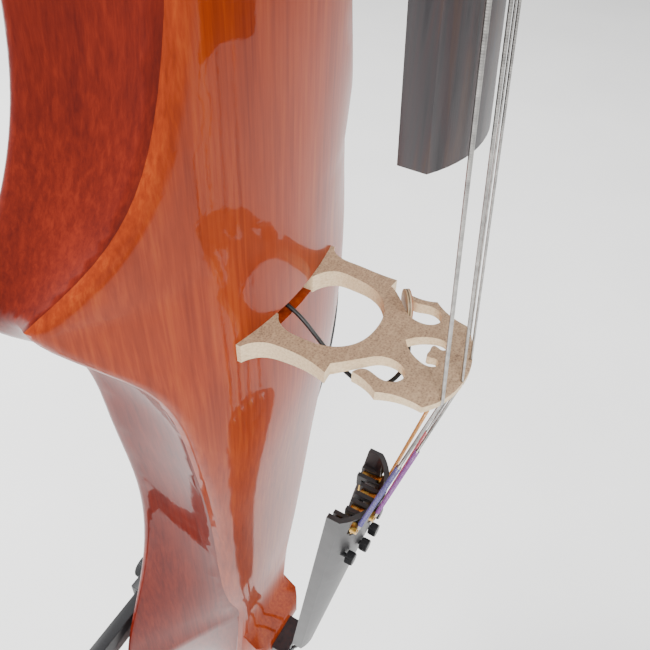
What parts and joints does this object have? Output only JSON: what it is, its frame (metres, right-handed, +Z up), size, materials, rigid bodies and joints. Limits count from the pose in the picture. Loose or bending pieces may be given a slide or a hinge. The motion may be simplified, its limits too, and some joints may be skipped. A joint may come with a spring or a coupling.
{
  "type": "electric cello",
  "caption": "Full-size electric cello: slim carved body, bridge pickup, fine tuners, pegs, sliding endpin, knee and chest supports, back control plate.",
  "frame": {"origin": "endpin tip on the endpin axis", "axes": "+Z up the instrument to the scroll, -Y to the audience (strings side), +X to the treble (A string) side"},
  "size_m": [0.432, 0.2748, 1.5863],
  "materials": {
    "body": "high-gloss red-brown lacquer",
    "belly": "high-gloss orange-red lacquer",
    "neck": "satin red-brown lacquer",
    "ebony": "oiled",
    "maple": "raw, fine flecks",
    "pickup": "satin",
    "cable": "matte",
    "steel_string": "flat-wound",
    "composite": "fine texture",
    "brass": "polished",
    "black_metal": "satin black",
    "steel": "bright",
    "gut": "smooth",
    "plastic": "moulded",
    "rubber": "matte",
    "circuit": "solder mask",
    "battery": "printed wrap without text",
    "foam": "soft"
  },
  "bodies": {
    "instrument": {"belly_plate": "belly", "body_core": "body", "fingerboard": "ebony", "nut": "ebony", "neck": "neck", "bridge": "maple", "tailpiece": "composite", "tuner_pivots": "steel", "tailgut": "gut", "saddle": "ebony", "endpin_collar": "black_metal", "bracket_screws": "steel", "chest_bracket": "plastic", "panel_screws": "steel", "control_plate": "plastic", "potentiometers": "steel", "output_jack": "steel", "headphone_jack": "steel", "circuit_board": "circuit", "battery_housing": "plastic", "pickup_element": "pickup", "pickup_lead": "cable", "string_c": "steel_string", "string_g": "steel_string", "string_d": "steel_string", "string_a": "steel_string", "knee_bracket_left": "plastic", "knee_bracket_right": "plastic"},
    "endpin": {"endpin_rod": "steel", "endpin_tip": "steel"},
    "endpin_lock": {"endpin_screw": "black_metal"},
    "chest_support": {"chest_post": "black_metal", "chest_pad": "foam"},
    "chest_lock": {"chest_screw": "black_metal"},
    "volume": {"volume_knob": "plastic"},
    "tone": {"tone_knob": "plastic"},
    "mode": {"mode_switch": "plastic"},
    "battery_tray": {"battery_drawer": "plastic", "battery": "battery"},
    "peg_c": {"peg_c": "ebony"},
    "tuner_c": {"tuner_screw_c": "black_metal"},
    "lever_c": {"tuner_lever_c": "brass"},
    "peg_g": {"peg_g": "ebony"},
    "tuner_g": {"tuner_screw_g": "black_metal"},
    "lever_g": {"tuner_lever_g": "brass"},
    "peg_d": {"peg_d": "ebony"},
    "tuner_d": {"tuner_screw_d": "black_metal"},
    "lever_d": {"tuner_lever_d": "brass"},
    "peg_a": {"peg_a": "ebony"},
    "tuner_a": {"tuner_screw_a": "black_metal"},
    "lever_a": {"tuner_lever_a": "brass"},
    "knee_support_left": {"knee_arm_left": "black_metal", "knee_pad_left": "rubber"},
    "knee_lock_left": {"knee_screw_left": "black_metal"},
    "knee_support_right": {"knee_arm_right": "black_metal", "knee_pad_right": "rubber"},
    "knee_lock_right": {"knee_screw_right": "black_metal"}
  },
  "joints": [
    {"name": "endpin_slide", "type": "slide", "parent": "instrument", "child": "endpin", "axis": [0, 0, -1], "range_m": [-0.21, 0.06]},
    {"name": "endpin_lock_turn", "type": "hinge", "parent": "instrument", "child": "endpin_lock", "pos_m": [0, 0, 0.265], "axis": [1, 0, 0], "range_deg": [0, 720]},
    {"name": "peg_c_turn", "type": "hinge", "parent": "instrument", "child": "peg_c", "pos_m": [0, -0.0491, 1.43072], "axis": [-1, 0, 0], "continuous": true},
    {"name": "peg_g_turn", "type": "hinge", "parent": "instrument", "child": "peg_g", "pos_m": [0, -0.03422, 1.48263], "axis": [-1, 0, 0], "continuous": true},
    {"name": "peg_d_turn", "type": "hinge", "parent": "instrument", "child": "peg_d", "pos_m": [0, -0.02677, 1.50858], "axis": [1, 0, 0], "continuous": true},
    {"name": "peg_a_turn", "type": "hinge", "parent": "instrument", "child": "peg_a", "pos_m": [0, -0.04166, 1.45667], "axis": [1, 0, 0], "continuous": true},
    {"name": "tuner_c_turn", "type": "hinge", "parent": "instrument", "child": "tuner_c", "pos_m": [-0.01995, -0.045, 0.526], "axis": [0, -1, 0], "range_deg": [0, 1262]},
    {"name": "lever_c_tilt", "type": "hinge", "parent": "instrument", "child": "lever_c", "pos_m": [-0.01995, -0.08951, 0.56], "axis": [1, 0, 0], "range_deg": [0, 2.6], "deforming": ["string_c"]},
    {"name": "tuner_g_turn", "type": "hinge", "parent": "instrument", "child": "tuner_g", "pos_m": [-0.00665, -0.045, 0.526], "axis": [0, -1, 0], "range_deg": [0, 1262]},
    {"name": "lever_g_tilt", "type": "hinge", "parent": "instrument", "child": "lever_g", "pos_m": [-0.00665, -0.09482, 0.56], "axis": [1, 0, 0], "range_deg": [0, 2.6], "deforming": ["string_g"]},
    {"name": "tuner_d_turn", "type": "hinge", "parent": "instrument", "child": "tuner_d", "pos_m": [0.00665, -0.045, 0.526], "axis": [0, -1, 0], "range_deg": [0, 1262]},
    {"name": "lever_d_tilt", "type": "hinge", "parent": "instrument", "child": "lever_d", "pos_m": [0.00665, -0.09482, 0.56], "axis": [1, 0, 0], "range_deg": [0, 2.6], "deforming": ["string_d"]},
    {"name": "tuner_a_turn", "type": "hinge", "parent": "instrument", "child": "tuner_a", "pos_m": [0.01995, -0.045, 0.526], "axis": [0, -1, 0], "range_deg": [0, 1262]},
    {"name": "lever_a_tilt", "type": "hinge", "parent": "instrument", "child": "lever_a", "pos_m": [0.01995, -0.08951, 0.56], "axis": [1, 0, 0], "range_deg": [0, 2.6], "deforming": ["string_a"]},
    {"name": "knee_support_left_slide", "type": "slide", "parent": "instrument", "child": "knee_support_left", "axis": [-1, 0, 0], "range_m": [-0.03, 0.014]},
    {"name": "knee_lock_left_turn", "type": "hinge", "parent": "instrument", "child": "knee_lock_left", "pos_m": [-0.057, -0.045, 0.416], "axis": [0, 1, 0], "range_deg": [0, 720]},
    {"name": "knee_support_right_slide", "type": "slide", "parent": "instrument", "child": "knee_support_right", "axis": [1, 0, 0], "range_m": [-0.03, 0.014]},
    {"name": "knee_lock_right_turn", "type": "hinge", "parent": "instrument", "child": "knee_lock_right", "pos_m": [0.057, -0.045, 0.416], "axis": [0, 1, 0], "range_deg": [0, 720]},
    {"name": "chest_support_slide", "type": "slide", "parent": "instrument", "child": "chest_support", "axis": [0, 1, 0], "range_m": [-0.03, 0]},
    {"name": "chest_lock_turn", "type": "hinge", "parent": "instrument", "child": "chest_lock", "pos_m": [0, 0.051, 1.046], "axis": [1, 0, 0], "range_deg": [0, 720]},
    {"name": "volume_turn", "type": "hinge", "parent": "instrument", "child": "volume", "pos_m": [-0.028, 0.035, 0.76], "axis": [0, 1, 0], "range_deg": [-150, 150]},
    {"name": "tone_turn", "type": "hinge", "parent": "instrument", "child": "tone", "pos_m": [-0.028, 0.035, 0.73], "axis": [0, 1, 0], "range_deg": [-150, 150]},
    {"name": "mode_slide", "type": "slide", "parent": "instrument", "child": "mode", "axis": [1, 0, 0], "range_m": [-0.004, 0.004]},
    {"name": "battery_tray_slide", "type": "slide", "parent": "instrument", "child": "battery_tray", "axis": [0, 1, 0], "range_m": [0, 0.018]}
  ],
  "couplings": [
    {"joint": "tuner_c_turn", "follows": "lever_c_tilt", "ratio": 484},
    {"joint": "tuner_g_turn", "follows": "lever_g_tilt", "ratio": 484},
    {"joint": "tuner_d_turn", "follows": "lever_d_tilt", "ratio": 484},
    {"joint": "tuner_a_turn", "follows": "lever_a_tilt", "ratio": 484}
  ]
}
